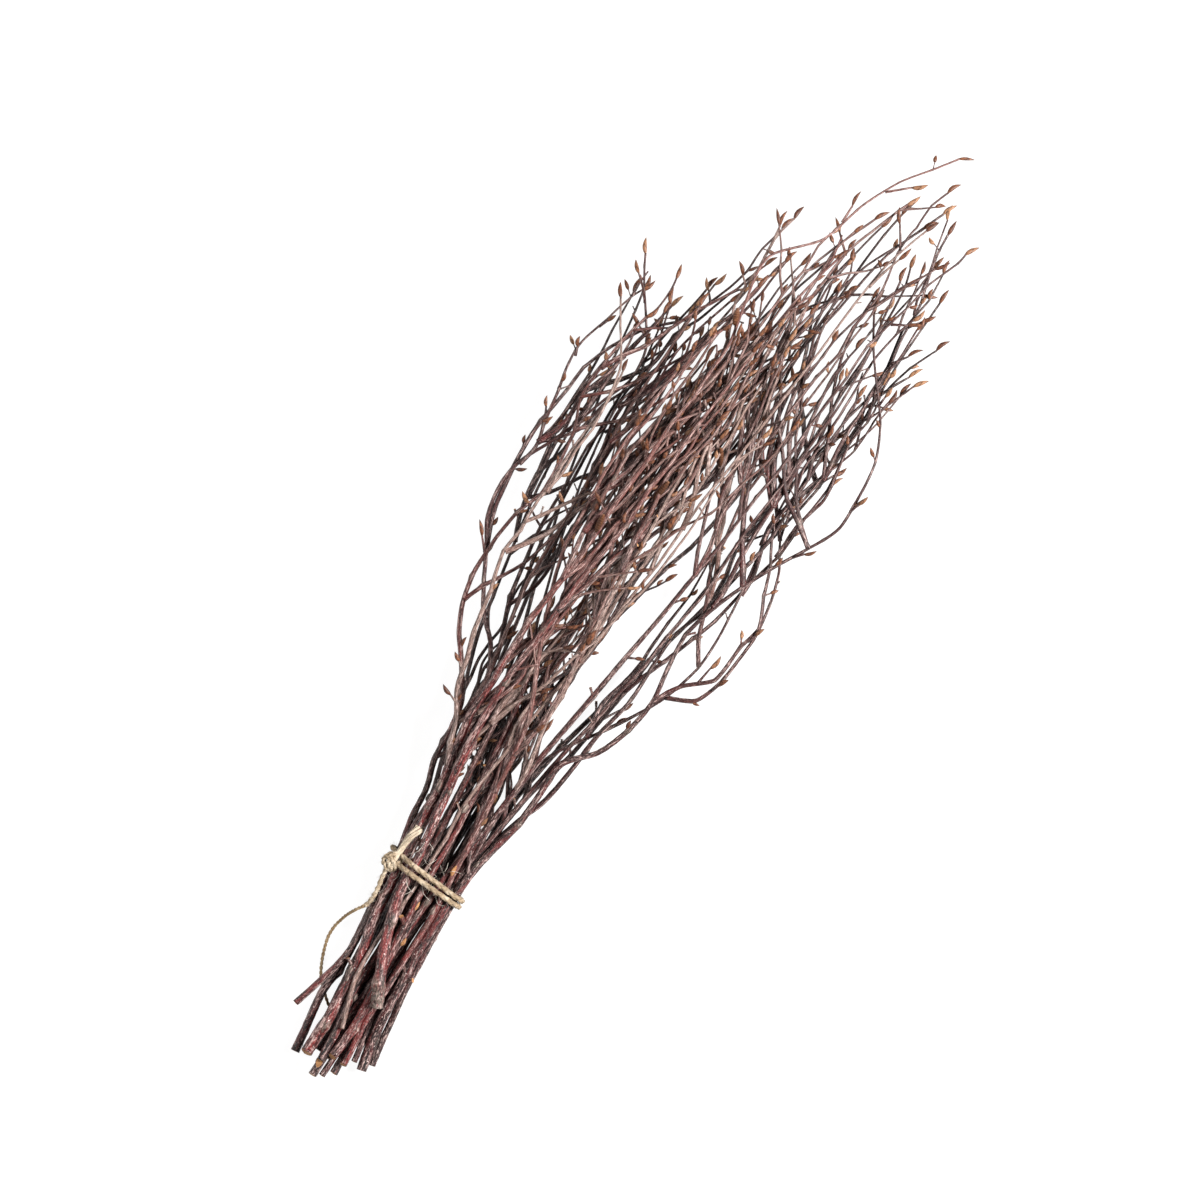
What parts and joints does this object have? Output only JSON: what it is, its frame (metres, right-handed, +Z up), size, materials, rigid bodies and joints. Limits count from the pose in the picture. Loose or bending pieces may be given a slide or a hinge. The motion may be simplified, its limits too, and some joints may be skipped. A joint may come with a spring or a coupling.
{
  "type": "bundle of twigs",
  "caption": "Loose bundle of dark, budded birch-like twigs with cut butts, tied near the butts with natural twine; it lies flat, fanned towards the tips.",
  "frame": {"origin": "middle of the bundle's footprint, on the surface it lies on", "axes": "+X along the bundle from the cut butts to the tips, +Y across it towards the side with the knot, +Z up"},
  "size_m": [0.5098, 0.1488, 0.0663],
  "materials": {
    "bark_dark": "satin",
    "bark_red": "satin",
    "bark_pale": "satin",
    "twine": "matte",
    "twine_thin": "matte"
  },
  "bodies": {
    "root": {"twig_01": "bark_dark", "twig_01_fork_a": "bark_red", "twig_01_fork_b": "bark_dark", "twig_01_fork_c": "bark_dark", "twig_02": "bark_dark", "twig_02_fork_a": "bark_pale", "twig_03": "bark_red", "twig_03_fork_a": "bark_pale", "twig_03_fork_b": "bark_dark", "twig_03_fork_c": "bark_dark", "twig_04": "bark_red", "twig_04_fork_a": "bark_dark", "twig_05": "bark_red", "twig_05_fork_a": "bark_dark", "twig_06": "bark_red", "twig_06_fork_a": "bark_dark", "twig_07": "bark_dark", "twig_07_fork_a": "bark_dark", "twig_07_fork_b": "bark_dark", "twig_08": "bark_dark", "twig_08_fork_a": "bark_pale", "twig_08_fork_b": "bark_dark", "twig_09": "bark_dark", "twig_09_fork_a": "bark_dark", "twig_09_fork_b": "bark_dark", "twig_10": "bark_dark", "twig_10_fork_a": "bark_pale", "twig_10_fork_b": "bark_dark", "twig_11": "bark_dark", "twig_11_fork_a": "bark_dark", "twig_12": "bark_dark", "twig_12_fork_a": "bark_dark", "twig_13": "bark_dark", "twig_14": "bark_dark", "twig_14_fork_a": "bark_dark", "twig_15": "bark_pale", "twig_16": "bark_dark", "twig_16_fork_a": "bark_dark", "twig_17": "bark_dark", "twig_17_fork_a": "bark_dark", "twig_18": "bark_dark", "twig_18_fork_a": "bark_dark", "twig_19": "bark_dark", "twig_19_fork_a": "bark_dark", "twig_20": "bark_dark", "twig_20_fork_a": "bark_dark", "twig_21": "bark_dark", "twig_21_fork_a": "bark_dark", "twig_22": "bark_dark", "twig_22_fork_a": "bark_dark", "twig_23": "bark_dark", "twig_23_fork_a": "bark_dark", "twig_24": "bark_dark", "twig_24_fork_a": "bark_dark", "twine_knot": "twine", "twine_long_end": "twine", "twine_short_end": "twine", "twine_tail": "twine_thin", "twine_turn_1": "twine", "twine_turn_2": "twine"}
  },
  "joints": []
}
